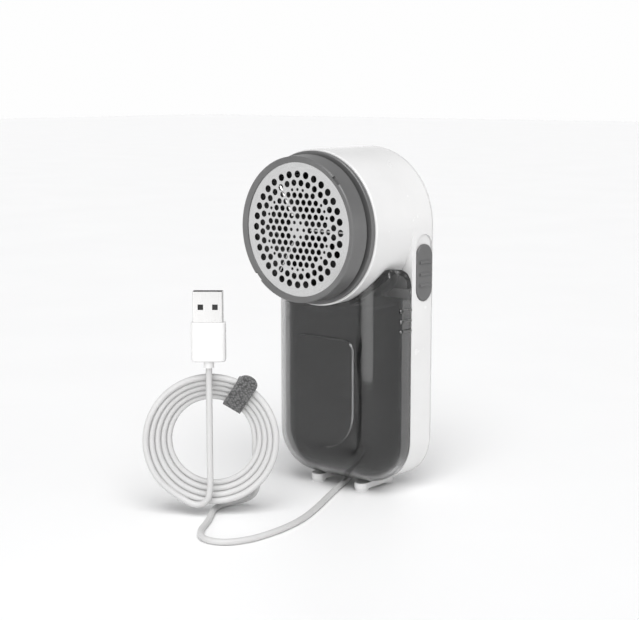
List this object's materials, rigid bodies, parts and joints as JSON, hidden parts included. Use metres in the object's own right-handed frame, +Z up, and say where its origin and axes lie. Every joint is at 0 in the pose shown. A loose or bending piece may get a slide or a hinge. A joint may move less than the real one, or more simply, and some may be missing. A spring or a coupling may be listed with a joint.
{
  "type": "fabric shaver",
  "caption": "Hand-held corded fabric shaver: arched housing, perforated foil head, slide-out lint bin, side slide switch and a coiled USB lead.",
  "frame": {"origin": "on the floor under the middle of the body's bounding box, without the cord", "axes": "+Z up, the head and the lint bin face -Y, +X is the object's own left as it faces you"},
  "size_m": [0.0719, 0.1193, 0.1484],
  "materials": {
    "white_plastic": "glossy moulded ABS",
    "grey_plastic": "satin moulded ABS",
    "dark_plastic": "matt moulded plastic",
    "smoke_plastic": "clear smoked acrylic",
    "switch_grey": "satin",
    "foil_steel": "brushed stainless",
    "steel": "ground steel",
    "zinc_steel": "zinc plated",
    "magnet": "sintered ferrite",
    "copper": "enamelled copper wire",
    "bronze": "sintered bronze",
    "gland_rubber": "white rubber",
    "cord_white": "soft white PVC",
    "plug_white": "glossy white PVC",
    "board_green": "solder-masked laminate",
    "chip_black": "moulded epoxy",
    "pad_fabric": "directional nap lint fabric",
    "strap_fabric": "woven hook-and-loop tape",
    "wire_red": "PVC insulation",
    "contact_gold": "gold-plated"
  },
  "bodies": {
    "body": {"base_rails": "white_plastic", "base_screws": "zinc_steel", "board_screws": "zinc_steel", "cable_strap": "strap_fabric", "chassis_screws": "zinc_steel", "circuit_board": "board_green", "control_chip": "chip_black", "cord_coil": "cord_white", "cord_gland": "gland_rubber", "cord_lead": "cord_white", "cord_tail": "cord_white", "cover_screws": "zinc_steel", "filter_capacitor": "chip_black", "head_flange": "grey_plastic", "lint_pad": "pad_fabric", "main_housing": "white_plastic", "motor_brushes": "copper", "motor_bushes": "bronze", "motor_can": "steel", "motor_chassis": "dark_plastic", "motor_end_cap": "dark_plastic", "motor_leads": "wire_red", "motor_magnets": "magnet", "pad_clips": "white_plastic", "pad_tray": "white_plastic", "plug_contacts": "contact_gold", "plug_overmold": "plug_white", "plug_shell": "zinc_steel", "plug_tongue": "chip_black", "rear_cover": "white_plastic", "rubber_feet": "gland_rubber", "slide_switch": "chip_black", "supply_wires": "wire_red"},
    "cutter_rotor": {"motor_shaft": "steel", "motor_armature": "steel", "armature_windings": "copper", "commutator": "copper", "fan_impeller": "dark_plastic", "blade_hub": "dark_plastic", "cutter_blades": "steel"},
    "foil_head": {"foil_ring": "grey_plastic", "cutter_foil": "foil_steel", "foil_retainer": "dark_plastic"},
    "bin": {"lint_bin": "smoke_plastic", "bin_back": "smoke_plastic", "bin_funnel": "smoke_plastic"},
    "switch": {"right_switch_button": "switch_grey", "left_switch_button": "switch_grey", "switch_carriage": "dark_plastic", "switch_lever": "dark_plastic"}
  },
  "joints": [
    {"name": "rotor_spin", "type": "hinge", "parent": "body", "child": "cutter_rotor", "pos_m": [0, 0, 0.1154], "axis": [0, -1, 0], "continuous": true},
    {"name": "foil_ring_twist", "type": "hinge", "parent": "body", "child": "foil_head", "pos_m": [0, 0, 0.1154], "axis": [0, -1, 0], "range_deg": [0, 35]},
    {"name": "bin_slide", "type": "slide", "parent": "body", "child": "bin", "axis": [0, -1, 0], "range_m": [0, 0.03]},
    {"name": "switch_slide", "type": "slide", "parent": "body", "child": "switch", "axis": [0, 0, 1], "range_m": [0, 0.004]}
  ]
}
